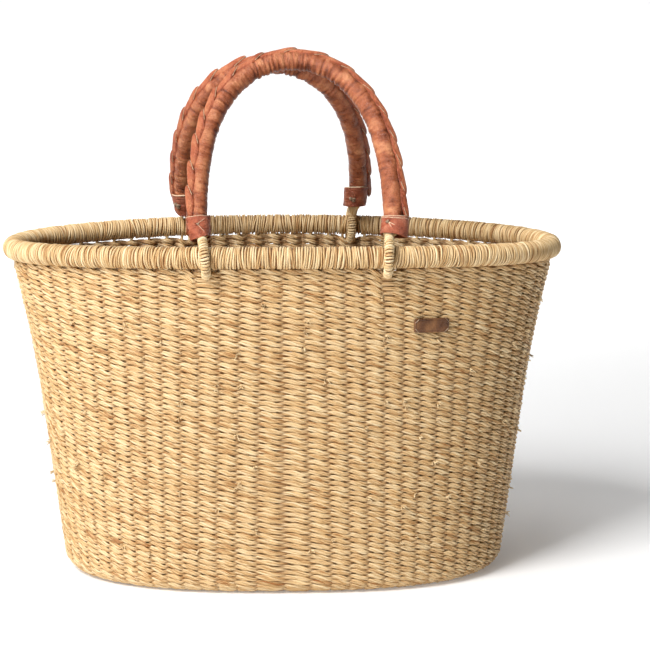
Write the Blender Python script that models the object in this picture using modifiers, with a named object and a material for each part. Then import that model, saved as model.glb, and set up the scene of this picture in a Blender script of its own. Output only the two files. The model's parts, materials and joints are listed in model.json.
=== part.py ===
"""Oval woven market basket with two leather-covered handles that swing on its rim.

Metres, +Z up.  The origin is the middle of the flat underside.  +X runs along the
basket's length, and -Y is its front.
"""
import math

import bmesh
import bpy
import numpy as np
from mathutils import Matrix, Vector

# Rim: a round grass bundle, whipped with split grass, that follows an oval.
RIM_LENGTH = 0.450            # outside, end to end
RIM_DEPTH = 0.241             # outside, front to back
RIM_RADIUS = 0.0085           # over the whipping
RIM_HEIGHT = 0.262            # centreline above the floor at the long sides
RIM_END_DROP = 0.0045         # how much lower the centreline is at the two ends
RIM_POWER = 2.1               # superellipse power: 2 is an ellipse, more is squarer
RIM_STEPS = 52                # straight runs around the rim
WHIPPING = 0.0017             # thickness of the whipping layer
RIM_CORE_RADIUS = 0.0058      # the bundle inside the whipping
WHIPPING_SLOT = 0.0022        # half width of the slot where the stakes come through

# Woven body: twined grass over upright stakes.
BASE_LENGTH = 0.357           # widest, just above the rounded bottom edge
BASE_DEPTH = 0.231
BASE_POWER = 2.6
WALL_TOP_LENGTH = 0.436
WALL_TOP_DEPTH = 0.226
WALL_STRAIGHT = 0.0327        # how much the half length grows evenly, bottom to top
FLARE_START = 0.56            # fraction of the wall height where the ends start to flare
LIP_START = 0.98              # the last rows stand upright under the rim
WALL_THICKNESS = 0.0085
BOTTOM_EDGE_RADIUS = 0.012
BOTTOM_FLANGE = 0.007         # flat part of the wall's weave that turns under
WALL_STEPS = 56               # straight runs around the wall
STAKE_COUNT = 68
STAKE_RADIUS = 0.0013
STAKE_INSET = 0.0030          # stakes stand this far inside the rim's centreline
STAKE_SHOWING = 0.0027        # bare stake between the top row and the rim

# Handles: an arch of grass rope in a laced leather cover, leaning in at rest.
HANDLE_SPAN = 0.150           # between the two feet
FRONT_HANDLE_X = 0.0104       # the two handles are sewn on a little off centre
REAR_HANDLE_X = -0.0112
FRONT_HANDLE_REACH = 0.174    # from the rim's centreline to the top of the arch
REAR_HANDLE_REACH = 0.1715
HANDLE_APART = 0.00825        # half the distance between the two arches at the top
ARCH_SHOULDER = 0.6           # below 1 gives straight legs and a round top
ARCH_STEPS = 28
COVER_RADIUS = 0.0079
COVER_THICKNESS = 0.0017
COVER_START = 0.0205          # the cover and its core start this far up from the rim
CORE_RADIUS = 0.0053

# Lacing: a flat thong that closes the cover's seam along the outside of the arch.
LACE_WIDTH = 0.0070
LACE_HEIGHT = 0.0030
LACE_LIFT = 0.0008            # clear of the cover, also where the arch bends
FRONT_LACE_TURN = (math.radians(30), math.radians(-22))    # at the left and right leg
REAR_LACE_TURN = (math.radians(-4), math.radians(-8))

# Cuffs: leather sleeves over the joint between the arch and its loops.
CUFF_THICKNESS = 0.0012
CUFF_START = 0.0143
CUFF_END = 0.0355
CUFF_RADIUS = 0.00945
CUFF_FOOT_WIDTH = 0.0084      # half width of the lower edge along the rim
CUFF_FOOT_DEPTH = 0.0113      # half width of the lower edge across the rim
CUFF_SIDES = 14
KNOT_RADIUS = 0.0026

# Loops: wrapped grass rope that passes round the rim and carries the handle.
LOOP_RADIUS = 0.0037
LOOP_BEND = 0.0130            # radius of the loop's centreline round the rim
LOOP_LEG_SPREAD = 0.0039      # half distance between the two legs inside the cuff
LOOP_TOP = 0.0198
NOTCH_WIDTH = 0.0092
NOTCH_FLOOR = 0.0175          # bottom of the opening, below the rim's centreline

# Leather label sewn to the front wall.
LABEL_SIZE = (0.028, 0.0108, 0.0018)
LABEL_X = 0.1125
LABEL_HEIGHT = 0.2105
LABEL_CORNER = 0.0018
STITCH_RADIUS = 0.00045

GAP = 0.0003
MERGE = 0.00001
ROUND_ANGLE = math.radians(40)

RIM_HALF_LENGTH = RIM_LENGTH / 2 - RIM_RADIUS
RIM_HALF_DEPTH = RIM_DEPTH / 2 - RIM_RADIUS
WALL_HEIGHT = RIM_HEIGHT - RIM_RADIUS - STAKE_SHOWING


# ---------------------------------------------------------------- scene helpers

def clear_scene():
    for old in list(bpy.data.objects):
        bpy.data.objects.remove(old, do_unlink=True)


def new_collection(name):
    collection = bpy.data.collections.new(name)
    bpy.context.scene.collection.children.link(collection)
    return collection


def material(name, colour, roughness, metallic=0.0):
    mat = bpy.data.materials.new(name)
    mat.use_nodes = True
    shader = mat.node_tree.nodes["Principled BSDF"]
    shader.inputs["Base Color"].default_value = (*colour, 1.0)
    shader.inputs["Roughness"].default_value = roughness
    shader.inputs["Metallic"].default_value = metallic
    return mat


def add_object(name, data, collection, mat=None, parent=None):
    obj = bpy.data.objects.new(name, data)
    collection.objects.link(obj)
    obj.parent = parent
    if mat:
        data.materials.append(mat)
    return obj


def shade_round(mesh):
    mesh.shade_smooth()
    mesh.set_sharp_from_angle(angle=ROUND_ANGLE)


def mesh_from_bmesh(name, bm):
    bmesh.ops.recalc_face_normals(bm, faces=bm.faces)
    mesh = bpy.data.meshes.new(name)
    bm.to_mesh(mesh)
    bm.free()
    shade_round(mesh)
    return mesh


def hide_guide(obj):
    obj.hide_render = True
    obj.display_type = "WIRE"


def curve_as_mesh(obj, collection):
    """Replace a curve by a mesh of the same shape, with its caps welded."""
    mesh = bpy.data.meshes.new_from_object(obj.evaluated_get(bpy.context.evaluated_depsgraph_get()))
    bm = bmesh.new()
    bm.from_mesh(mesh)
    bmesh.ops.remove_doubles(bm, verts=bm.verts, dist=MERGE)
    bm.to_mesh(mesh)
    bm.free()
    name, parent, place = obj.name, obj.parent, obj.matrix_world.copy()
    bpy.data.objects.remove(obj)
    solid = add_object(name, mesh, collection, parent=parent)
    solid.matrix_world = place
    return solid


def boolean(obj, operand, operation):
    modifier = obj.modifiers.new(operation.title(), "BOOLEAN")
    modifier.operation = operation
    modifier.object = operand


def solidify(obj, thickness):
    """Give an open surface its thickness, inwards from its outer face."""
    modifier = obj.modifiers.new("Thickness", "SOLIDIFY")
    modifier.thickness = thickness
    modifier.offset = -1.0
    modifier.use_even_offset = True


def loft(name, rings):
    """An open surface through rings of the same number of points, outer face out."""
    bm = bmesh.new()
    rows = [[bm.verts.new(point) for point in ring] for ring in rings]
    for low, high in zip(rows, rows[1:]):
        for i in range(len(low)):
            j = (i + 1) % len(low)
            bm.faces.new((low[i], low[j], high[j], high[i]))
    mesh = bpy.data.meshes.new(name)
    bm.to_mesh(mesh)
    bm.free()
    shade_round(mesh)
    return mesh


def path_curve(name, points, cyclic=False, tilts=None):
    """A polyline curve through the points."""
    curve = bpy.data.curves.new(name, "CURVE")
    curve.dimensions = "3D"
    spline = curve.splines.new("POLY")
    spline.points.add(len(points) - 1)
    for i, point in enumerate(points):
        spline.points[i].co = (*point, 1.0)
        if tilts is not None:
            spline.points[i].tilt = tilts[i]
    spline.use_cyclic_u = cyclic
    spline.use_smooth = True
    return curve


def tube_curve(name, points, radius, caps=True, cyclic=False, resolution=2):
    curve = path_curve(name, points, cyclic)
    curve.bevel_depth = radius
    curve.bevel_resolution = resolution
    curve.use_fill_caps = caps
    return curve


# ---------------------------------------------------------------- the oval forms

def oval(half_length, half_depth, power, angle):
    """A point of a superellipse; power 2 is an ellipse."""
    c, s = math.cos(angle), math.sin(angle)
    x = half_length * math.copysign(abs(c) ** (2 / power), c)
    y = half_depth * math.copysign(abs(s) ** (2 / power), s)
    return x, y


def rim_z(x):
    return RIM_HEIGHT - RIM_END_DROP * (x / RIM_HALF_LENGTH) ** 2


def rim_point(angle):
    x, y = oval(RIM_HALF_LENGTH, RIM_HALF_DEPTH, RIM_POWER, angle)
    return Vector((x, y, rim_z(x)))


def rim_y(x):
    """Distance of the rim's centreline from the middle plane at x."""
    return RIM_HALF_DEPTH * (1 - abs(x / RIM_HALF_LENGTH) ** RIM_POWER) ** (1 / RIM_POWER)


def wall_half_sizes(t):
    """Half length, half depth and power of the wall's outside at height fraction t."""
    flare_size = WALL_TOP_LENGTH / 2 - BASE_LENGTH / 2 - WALL_STRAIGHT
    flare = flare_size * (max(0.0, t - FLARE_START) / (1 - FLARE_START)) ** 2
    half_length = BASE_LENGTH / 2 + WALL_STRAIGHT * t + flare
    half_depth = BASE_DEPTH / 2 - (BASE_DEPTH - WALL_TOP_DEPTH) / 2 * t * t
    power = BASE_POWER + (RIM_POWER - BASE_POWER) * t
    return half_length, half_depth, power


def wall_point(t, angle, inset=0.0):
    """A point on the wall's outside, or inset from it, at height fraction t."""
    half_length, half_depth, power = wall_half_sizes(t)
    x, y = oval(half_length - inset, half_depth - inset, power, angle)
    drop = RIM_END_DROP * (x / RIM_HALF_LENGTH) ** 2
    return Vector((x, y, t * (WALL_HEIGHT - drop)))


def angles(count):
    return [2 * math.pi * i / count for i in range(count)]


def wall_rings():
    """Rings of the wall's outside, from the flange under the bottom to the top."""
    radius = BOTTOM_EDGE_RADIUS
    rings = []
    levels = [(0.0, radius + BOTTOM_FLANGE)]
    for degrees in (0, 30, 60):
        a = math.radians(degrees)
        levels.append((radius * (1 - math.cos(a)), radius * (1 - math.sin(a))))
    for z, inset in levels:
        ring = [wall_point(z / WALL_HEIGHT, a, inset) for a in angles(WALL_STEPS)]
        for point in ring:
            point.z = z
        rings.append(ring)
    for t in (radius / WALL_HEIGHT, 0.3, FLARE_START, 0.72, 0.86, LIP_START):
        rings.append([wall_point(t, a) for a in angles(WALL_STEPS)])
    lip = [point.copy() for point in rings[-1]]
    for point in lip:
        point.z /= LIP_START
    rings.append(lip)
    return rings


def stake_angles(loop_xs):
    """Oval angles of the stakes, evenly spaced along the rim and clear of the loops."""
    fine = np.linspace(0, 2 * math.pi, 4001)
    points = np.array([rim_point(a) for a in fine])
    length = np.concatenate([[0], np.cumsum(np.linalg.norm(np.diff(points, axis=0), axis=1))])
    loops = [np.interp(loop_angle(x, side), fine, length) for x, side in loop_xs]
    clearance = NOTCH_WIDTH / 2 + STAKE_RADIUS + GAP
    result = []
    for i in range(STAKE_COUNT):
        s = length[-1] * (i + 0.5) / STAKE_COUNT
        for loop in loops:
            if abs(s - loop) < clearance:
                s = loop + math.copysign(clearance, s - loop)
        result.append(float(np.interp(s, length, fine)))
    return result


def loop_angle(x, side):
    """Oval angle of the rim's point at x, on the front (side -1) or the rear (+1)."""
    c = math.copysign(abs(x / RIM_HALF_LENGTH) ** (RIM_POWER / 2), x)
    angle = math.acos(c)
    return angle if side > 0 else 2 * math.pi - angle


# ---------------------------------------------------------------- the basket body

def make_base(collection, mat):
    """The woven bottom: a flat oval plate inside the wall's turned-under edge."""
    outline_inset = BOTTOM_EDGE_RADIUS + BOTTOM_FLANGE + GAP
    bm = bmesh.new()
    ring = [bm.verts.new((*wall_point(0, a, outline_inset).xy, 0)) for a in angles(WALL_STEPS)]
    bottom = bm.faces.new(ring)
    grown = bmesh.ops.extrude_face_region(bm, geom=[bottom])["geom"]
    lifted = [item for item in grown if isinstance(item, bmesh.types.BMVert)]
    bmesh.ops.translate(bm, verts=lifted, vec=(0, 0, WALL_THICKNESS))
    add_object("woven_base", mesh_from_bmesh("woven_base", bm), collection, mat)


def make_wall(collection, cutters, mat, handles):
    """The woven wall, with an opening under the rim for each loop."""
    wall = add_object("woven_wall", loft("woven_wall", wall_rings()), collection, mat)
    solidify(wall, WALL_THICKNESS)
    for handle in handles:
        for side in (-1, 1):
            bpy.ops.mesh.primitive_cube_add(size=1)
            cutter = bpy.context.object
            cutter.name = f"loop_opening_{handle['name']}_{'left' if side < 0 else 'right'}"
            cutter.scale = (NOTCH_WIDTH, 4 * LOOP_BEND, NOTCH_FLOOR)
            cutter.rotation_euler.z = handle["heading"]
            cutter.location = handle["hinge"] @ Vector((side * handle["half_span"], 0, 0))
            cutter.location.z -= NOTCH_FLOOR / 2
            bpy.context.collection.objects.unlink(cutter)
            cutters.objects.link(cutter)
            hide_guide(cutter)
            boolean(wall, cutter, "DIFFERENCE")


def make_rim_core(collection, cutters, mat, handles):
    """The grass bundle inside the rim, with the stakes' upper ends that join it."""
    path = [rim_point(a) for a in angles(RIM_STEPS)]
    radius = RIM_CORE_RADIUS
    curve = tube_curve("rim_core", path, radius, caps=False, cyclic=True)
    curve.twist_mode = "Z_UP"
    core = curve_as_mesh(add_object("rim_core", curve, collection), collection)
    core.data.materials.append(mat)
    shade_round(core.data)
    bm = bmesh.new()
    loop_xs = [(foot.x, handle["side"]) for handle in handles for foot in handle["feet"]]
    length = RIM_RADIUS + STAKE_SHOWING - GAP - radius / 2
    for angle in stake_angles(loop_xs):
        centre = rim_point(angle)
        centre += inward_normal(angle) * STAKE_INSET
        centre.z -= radius / 2 + length / 2
        bmesh.ops.create_cone(bm, cap_ends=True, segments=6, radius1=STAKE_RADIUS,
                              radius2=STAKE_RADIUS, depth=length,
                              matrix=Matrix.Translation(centre))
    stakes = add_object("stake_ends", mesh_from_bmesh("stake_ends", bm), cutters)
    hide_guide(stakes)
    boolean(core, stakes, "UNION")


def inward_normal(angle, step=0.001):
    along = rim_point(angle + step) - rim_point(angle - step)
    return Vector((-along.y, along.x, 0)).normalized()


def make_rim_whipping(collection, cutters, mat):
    """The whipping round the rim, open below where the stakes come through it."""
    outer, inner = RIM_RADIUS, RIM_RADIUS - WHIPPING
    slot_middle = -math.pi / 2 - math.asin(STAKE_INSET / inner)
    outline = []
    half_slot = math.asin(WHIPPING_SLOT / inner)
    start, end = slot_middle + half_slot, slot_middle + 2 * math.pi - half_slot
    for radius, steps in ((inner, np.linspace(start, end, 8)), (outer, np.linspace(end, start, 10))):
        outline += [(radius * math.cos(a), radius * math.sin(a), 0) for a in steps]
    section = add_object("whipping_section", path_curve("whipping_section", outline, True), cutters)
    section.data.dimensions = "2D"
    hide_guide(section)
    curve = path_curve("rim_whipping", [rim_point(a) for a in angles(RIM_STEPS)], True)
    curve.twist_mode = "Z_UP"
    curve.bevel_mode = "OBJECT"
    curve.bevel_object = section
    add_object("rim_whipping", curve, collection, mat)


# ---------------------------------------------------------------- the handles

def handle_layout(name, side, middle_x, reach, lace_turn):
    """Where a handle's hinge is; side is -1 at the front and +1 at the rear."""
    feet = [Vector((x, side * rim_y(x), rim_z(x)))
            for x in (middle_x - HANDLE_SPAN / 2, middle_x + HANDLE_SPAN / 2)]
    middle = (feet[0] + feet[1]) / 2
    across = feet[1] - feet[0]
    heading = math.atan2(across.y, across.x)
    lean = math.asin((abs(middle.y) - HANDLE_APART) / reach)
    hinge = Matrix.Translation(middle) @ Matrix.Rotation(heading, 4, "Z")
    return {"name": name, "side": side, "feet": feet, "half_span": across.xy.length / 2,
            "heading": heading, "hinge": hinge, "lean": lean, "reach": reach,
            "lace_turn": lace_turn}


def arch_point(handle, angle):
    """A point of the arch's centreline, in the handle's own plane."""
    x = handle["half_span"] * math.cos(angle)
    z = handle["reach"] * math.sin(angle) ** ARCH_SHOULDER
    return Vector((-x, 0, z))


def arch_path(handle, start_height, steps):
    """The arch from one leg to the other, starting at a height above the hinge."""
    start = math.asin((start_height / handle["reach"]) ** (1 / ARCH_SHOULDER))
    return [arch_point(handle, a) for a in even_angles(handle, start, steps)]


def even_angles(handle, start, steps):
    """Arch angles that space the points evenly along the centreline."""
    fine = np.linspace(start, math.pi - start, 2001)
    points = np.array([arch_point(handle, a) for a in fine])
    length = np.concatenate([[0], np.cumsum(np.linalg.norm(np.diff(points, axis=0), axis=1))])
    return np.interp(np.linspace(0, length[-1], steps + 1), length, fine)


def arch_outward(points, i):
    """Unit vector away from the arch's inside, in its plane."""
    before, after = points[max(i - 1, 0)], points[min(i + 1, len(points) - 1)]
    along = (after - before).normalized()
    return Vector((-along.z, 0, along.x))


def make_lace(handle, pivot, collection, cutters, mat):
    """The thong along the cover's seam, turned a little round the arch."""
    section = [(LACE_HEIGHT / 2 * math.cos(a), -LACE_WIDTH / 2 * math.sin(a), 0)
               for a in angles(6)]
    name = f"{handle['name']}_handle_lacing"
    guide = add_object(name + "_section", path_curve(name + "_section", section, True), cutters)
    guide.data.dimensions = "2D"
    hide_guide(guide)
    centre = arch_path(handle, CUFF_END + GAP, ARCH_STEPS)
    offset = COVER_RADIUS + LACE_LIFT + LACE_HEIGHT / 2
    turns = np.linspace(*handle["lace_turn"], len(centre))
    path = []
    for i, (point, turn) in enumerate(zip(centre, turns)):
        place = point + offset * (math.cos(turn) * arch_outward(centre, i)
                                  + math.sin(turn) * Vector((0, -1, 0)))
        path.append((place.x, place.z, -place.y))
    curve = path_curve(name, path, tilts=list(turns))
    curve.twist_mode = "Z_UP"
    curve.bevel_mode = "OBJECT"
    curve.bevel_object = guide
    curve.use_fill_caps = True
    lace = add_object(name, curve, collection, mat, pivot)
    lace.rotation_euler.x = math.pi / 2


def make_cuff(handle, side, pivot, collection, mat):
    """A leather sleeve: round at the top, and pinched along the rim at the foot."""
    levels = ((CUFF_START, CUFF_FOOT_WIDTH, CUFF_FOOT_DEPTH),
              ((CUFF_START + COVER_START) / 2, 0.95 * CUFF_RADIUS, 1.09 * CUFF_RADIUS),
              (COVER_START - GAP, CUFF_RADIUS, CUFF_RADIUS),
              (CUFF_END, CUFF_RADIUS, CUFF_RADIUS))
    rings = [[(w * math.cos(a), d * math.sin(a), z) for a in angles(CUFF_SIDES)]
             for z, w, d in levels]
    place = "left" if side < 0 else "right"
    name = f"{handle['name']}_cuff_{place}"
    cuff = add_object(name, loft(name, rings), collection, mat, pivot)
    cuff.location.x = side * handle["half_span"]
    solidify(cuff, CUFF_THICKNESS)


def make_knot(handle, side, pivot, collection, mat):
    """The knotted end of the thong that closes a cuff, on its front face."""
    bm = bmesh.new()
    bmesh.ops.create_uvsphere(bm, u_segments=8, v_segments=6, radius=KNOT_RADIUS)
    bmesh.ops.scale(bm, vec=(1.1, 0.7, 0.9), verts=bm.verts)
    place = "left" if side < 0 else "right"
    name = f"{handle['name']}_cuff_knot_{place}"
    knot = add_object(name, mesh_from_bmesh(name, bm), collection, mat, pivot)
    stand_off = CUFF_RADIUS + 0.7 * KNOT_RADIUS + GAP
    height = (COVER_START + CUFF_END) / 2
    knot.location = (side * handle["half_span"], -stand_off, height)


def make_loop(handle, side, pivot, collection, mat):
    """Wrapped grass rope: two legs out of the cuff, and a bend round the rim."""
    legs = [(LOOP_LEG_SPREAD, LOOP_TOP), (LOOP_LEG_SPREAD, 0.0165), (0.0049, 0.0139)]
    bend = [(LOOP_BEND * math.sin(a), LOOP_BEND * math.cos(a))
            for a in np.radians(np.linspace(36, 324, 15))]
    outline = legs + bend + [(-y, z) for y, z in reversed(legs)]
    place = "left" if side < 0 else "right"
    name = f"{handle['name']}_loop_{place}"
    curve = tube_curve(name, [(0, y, z) for y, z in outline], LOOP_RADIUS)
    loop = add_object(name, curve, collection, mat, pivot)
    loop.location.x = side * handle["half_span"]


def make_handle(handle, collection, cutters, mats):
    """One handle, on an empty whose X axis is the hinge."""
    pivot = bpy.data.objects.new(f"{handle['name']}_handle_hinge", None)
    collection.objects.link(pivot)
    pivot.matrix_world = handle["hinge"] @ Matrix.Rotation(handle["side"] * handle["lean"], 4, "X")
    path = arch_path(handle, COVER_START, ARCH_STEPS)
    name = f"{handle['name']}_handle"
    core = tube_curve(f"{name}_core", path, CORE_RADIUS, resolution=1)
    add_object(f"{name}_core", core, collection, mats["grass rope"], pivot)
    skin = tube_curve(f"{name}_cover", path, COVER_RADIUS, caps=False)
    cover = add_object(f"{name}_cover", skin, collection, mats["leather"], pivot)
    solidify(cover, COVER_THICKNESS)
    make_lace(handle, pivot, collection, cutters, mats["lacing leather"])
    for side in (-1, 1):
        make_cuff(handle, side, pivot, collection, mats["cuff leather"])
        make_knot(handle, side, pivot, collection, mats["thong"])
        make_loop(handle, side, pivot, collection, mats["grass rope"])


# ---------------------------------------------------------------- the label

def label_place():
    """The label's frame: X along the wall, Y up the wall, Z out of it."""
    t = LABEL_HEIGHT / WALL_HEIGHT
    fine = np.linspace(1.5 * math.pi, 2 * math.pi, 2001)
    angle = float(fine[np.argmin([abs(wall_point(t, a).x - LABEL_X) for a in fine])])
    middle = wall_point(t, angle)
    along = (wall_point(t, angle + 0.02) - wall_point(t, angle - 0.02)).normalized()
    up = (wall_point(t + 0.02, angle) - wall_point(t - 0.02, angle)).normalized()
    out = along.cross(up).normalized()
    frame = Matrix((along, out.cross(along), out)).transposed().to_4x4()
    return Matrix.Translation(middle + out * 2 * GAP) @ frame


def make_label(collection, label_mat, thread_mat):
    """A blank leather patch with rounded corners and a stitch at each corner."""
    width, height, thickness = LABEL_SIZE
    place = label_place()
    bm = bmesh.new()
    bmesh.ops.create_cube(bm, size=1)
    bmesh.ops.scale(bm, vec=LABEL_SIZE, verts=bm.verts)
    bmesh.ops.translate(bm, vec=(0, 0, thickness / 2), verts=bm.verts)
    upright = [e for e in bm.edges if abs(e.verts[0].co.z - e.verts[1].co.z) > thickness / 2]
    bmesh.ops.bevel(bm, geom=upright, offset=LABEL_CORNER, segments=3, profile=0.5,
                    affect="EDGES")
    patch = add_object("label_patch", mesh_from_bmesh("label_patch", bm), collection, label_mat)
    patch.matrix_world = place
    inset = 1.6 * LABEL_CORNER
    lift = thickness + GAP + STITCH_RADIUS
    corners = [(x, y) for x in (-1, 1) for y in (-1, 1)]
    for number, (x, y) in enumerate(corners, start=1):
        middle = Vector((x * (width / 2 - inset), y * (height / 2 - inset), lift))
        lean = Vector((0.0011, -0.0011 * x * y, 0))
        stitch = tube_curve(f"label_stitch_{number}", [middle - lean, middle, middle + lean],
                            STITCH_RADIUS, resolution=1)
        thread = add_object(f"label_stitch_{number}", stitch, collection, thread_mat)
        thread.matrix_world = place


def main():
    clear_scene()
    parts = new_collection("woven_market_basket")
    cutters = new_collection("cutters")
    mats = {
        "grass weave": material("grass weave", (0.56, 0.36, 0.16), 0.6),
        "grass whipping": material("grass whipping", (0.62, 0.43, 0.21), 0.55),
        "grass bundle": material("grass bundle", (0.50, 0.33, 0.15), 0.7),
        "grass rope": material("grass rope", (0.58, 0.40, 0.19), 0.6),
        "leather": material("leather", (0.42, 0.14, 0.05), 0.45),
        "lacing leather": material("lacing leather", (0.46, 0.15, 0.06), 0.5),
        "cuff leather": material("cuff leather", (0.44, 0.12, 0.06), 0.5),
        "thong": material("thong", (0.16, 0.09, 0.06), 0.6),
        "label leather": material("label leather", (0.09, 0.05, 0.035), 0.55),
        "thread": material("thread", (0.12, 0.07, 0.05), 0.6),
    }
    handles = [
        handle_layout("front", -1, FRONT_HANDLE_X, FRONT_HANDLE_REACH, FRONT_LACE_TURN),
        handle_layout("rear", 1, REAR_HANDLE_X, REAR_HANDLE_REACH, REAR_LACE_TURN),
    ]
    make_base(parts, mats["grass weave"])
    make_wall(parts, cutters, mats["grass weave"], handles)
    make_rim_core(parts, cutters, mats["grass bundle"], handles)
    make_rim_whipping(parts, cutters, mats["grass whipping"])
    for handle in handles:
        make_handle(handle, parts, cutters, mats)
    make_label(parts, mats["label leather"], mats["thread"])


main()
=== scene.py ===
"""Looks of the woven market basket: twined grass, whipped rim and laced leather handles.

Everything is in metres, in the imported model's frame: +X along the basket, -Y its front,
+Z up.  Fine surfaces are swept strands, built in numpy and turned into meshes.
"""
import json
import math

import bpy
import numpy as np
from mathutils import Matrix, Vector


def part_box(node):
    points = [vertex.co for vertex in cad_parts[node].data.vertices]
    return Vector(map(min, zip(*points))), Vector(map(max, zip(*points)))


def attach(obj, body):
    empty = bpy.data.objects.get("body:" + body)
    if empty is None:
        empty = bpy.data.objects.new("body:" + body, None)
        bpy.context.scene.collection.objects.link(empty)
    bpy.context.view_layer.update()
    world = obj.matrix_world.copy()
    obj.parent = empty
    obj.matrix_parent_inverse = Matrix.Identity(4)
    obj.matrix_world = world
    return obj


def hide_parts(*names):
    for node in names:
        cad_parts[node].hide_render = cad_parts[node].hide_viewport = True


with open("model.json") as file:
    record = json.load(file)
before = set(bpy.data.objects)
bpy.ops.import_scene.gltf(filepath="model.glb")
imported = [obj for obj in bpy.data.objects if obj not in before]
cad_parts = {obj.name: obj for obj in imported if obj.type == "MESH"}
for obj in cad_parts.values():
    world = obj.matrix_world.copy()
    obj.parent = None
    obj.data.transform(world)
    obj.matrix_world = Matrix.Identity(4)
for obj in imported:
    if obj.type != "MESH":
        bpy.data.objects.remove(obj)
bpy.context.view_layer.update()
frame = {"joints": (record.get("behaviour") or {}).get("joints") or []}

PI = math.pi
TAU = 2 * math.pi

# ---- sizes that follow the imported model
WALL_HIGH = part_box("woven_wall")[1]
RIM_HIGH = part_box("rim_whipping")[1]
LABEL_LOW, LABEL_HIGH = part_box("label_patch")

RIM_RADIUS = 0.0085
RIM_END_DROP = 0.0045         # how much lower the rim is at its ends than in the middle
RIM_POWER = 2.1
RIM_HALF_LENGTH = RIM_HIGH.x - RIM_RADIUS
RIM_HALF_DEPTH = RIM_HIGH.y - RIM_RADIUS
RIM_HEIGHT = RIM_HIGH.z - RIM_RADIUS

WALL_HEIGHT = WALL_HIGH.z
WALL_DEPTH = WALL_HIGH.y
WALL_TOP_DEPTH = WALL_DEPTH - 0.0025
WALL_TOP_LENGTH = 0.2180
BASE_LENGTH = 0.1785
BASE_POWER = 2.6
WALL_STRAIGHT = 0.0327        # the wall's even outward lean, over its full height
FLARE_START = 0.56            # share of the height above which the wall curves outwards
LIP_START = 0.98
WEAVE_THICKNESS = 0.0085
EDGE_RADIUS = 0.012           # of the turn from the base into the wall
FLANGE = 0.007                # flat turned-in part of the wall, round the base

# ---- the weave
STAKES = 68
STAKE_RADIUS = 0.0013
STAKE_INSET = 0.0030
EDGE_START = FLANGE + EDGE_RADIUS * PI / 2
WALL_RUN = EDGE_START + WALL_HEIGHT - EDGE_RADIUS
WALL_ROWS = 64
ROW_PITCH = (WALL_RUN + 0.0001) / (WALL_ROWS - 0.5)
STITCH_STEPS = np.array([0.0, 0.18, 0.34, 0.46, 0.54, 0.66, 0.82])
ROWS_PER_PIECE = 6
BASE_ROW_SEED = 80            # the base's rows draw their wander from this row number on
STRAND_SWING = 0.0025         # how far a strand's middle stands out in front of a stake
STRAND_SLANT = 0.00116        # half its rise or fall between two stakes
CROSSING_BIAS = 0.40          # strands cross outside the wall's middle
STRAND_FLATNESS = 2.3         # higher keeps a strand out in front for longer between crossings
SHADE_REACH = 0.0015          # how far from the wall's middle strands get painted shade
PLIES = 3
PLY_TWIST = 0.031             # length of one full turn of a strand's plies
PLY_SIDES = 5
ROOM_AT_LOOPS = 0.218         # height above which rows dip to pass the loops
TUFTS = 170
BASE_HALF_DEPTH = WALL_DEPTH - EDGE_RADIUS - FLANGE
BASE_SPINE = BASE_LENGTH - EDGE_RADIUS - FLANGE - BASE_HALF_DEPTH


# ---- small helpers

def drift(x, seed, waves=5):
    """Smooth, repeatable wander between about -1 and 1."""
    rng = np.random.default_rng(seed)
    total = 0.0
    for _ in range(waves):
        total = total + np.sin(rng.uniform(0.5, 2.6) * x + rng.uniform(0, TAU))
    return total / (0.62 * waves)


def between(ends, t):
    return ends[0] + (ends[1] - ends[0]) * t


def smooth_step(x, low, high):
    t = np.clip((x - low) / (high - low), 0, 1)
    return t * t * (3 - 2 * t)


def unit(v):
    return v / np.maximum(np.linalg.norm(v, axis=-1, keepdims=True), 1e-12)


def run_along(points):
    """Distance of every point along its polyline."""
    return np.concatenate([[0], np.cumsum(np.linalg.norm(np.diff(points, axis=0), axis=1))])


def at_run(x, run, points):
    """Values at distances x along a polyline whose points lie at the distances run."""
    return np.stack([np.interp(x, run, points[:, i]) for i in range(3)], -1)


def resample(points, count):
    """Points at even distances along a polyline."""
    run = run_along(points)
    return at_run(np.linspace(0, run[-1], count), run, points)


def smooth_path(points, count):
    """A Catmull-Rom curve through the points, evenly sampled."""
    p = np.asarray(points, float)
    p = np.vstack([2 * p[0] - p[1], p, 2 * p[-1] - p[-2]])
    out = []
    for a, b, c, d in zip(p, p[1:], p[2:], p[3:]):
        t = np.linspace(0, 1, 12, endpoint=False)[:, None]
        out.append(0.5 * (2 * b + (c - a) * t + (2 * a - 5 * b + 4 * c - d) * t ** 2
                          + (3 * b - a - 3 * c + d) * t ** 3))
    out.append(p[-2][None])
    return resample(np.vstack(out), count)


def new_object(name, data):
    item = bpy.data.objects.new(name, data)
    bpy.context.scene.collection.objects.link(item)
    return item


def add_piece(name, mesh, mat, body, replaces=(), place=None):
    mesh.materials.append(mat)
    piece = new_object(name, mesh)
    if place is not None:
        piece.matrix_world = place
    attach(piece, body)
    if replaces:
        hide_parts(*replaces)


def add_tubes(name, points, along, attributes, mat, body, replaces=(), place=None,
              closed=False):
    """One piece of tubes; an attribute is a number, or an array that fits the points."""
    attributes = {key: np.broadcast_to(v, points.shape[:3]) for key, v in attributes.items()}
    mesh = tube_mesh(name, points, along, attributes, closed)
    add_piece(name, mesh, MATS[mat], body, replaces, place)


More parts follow.
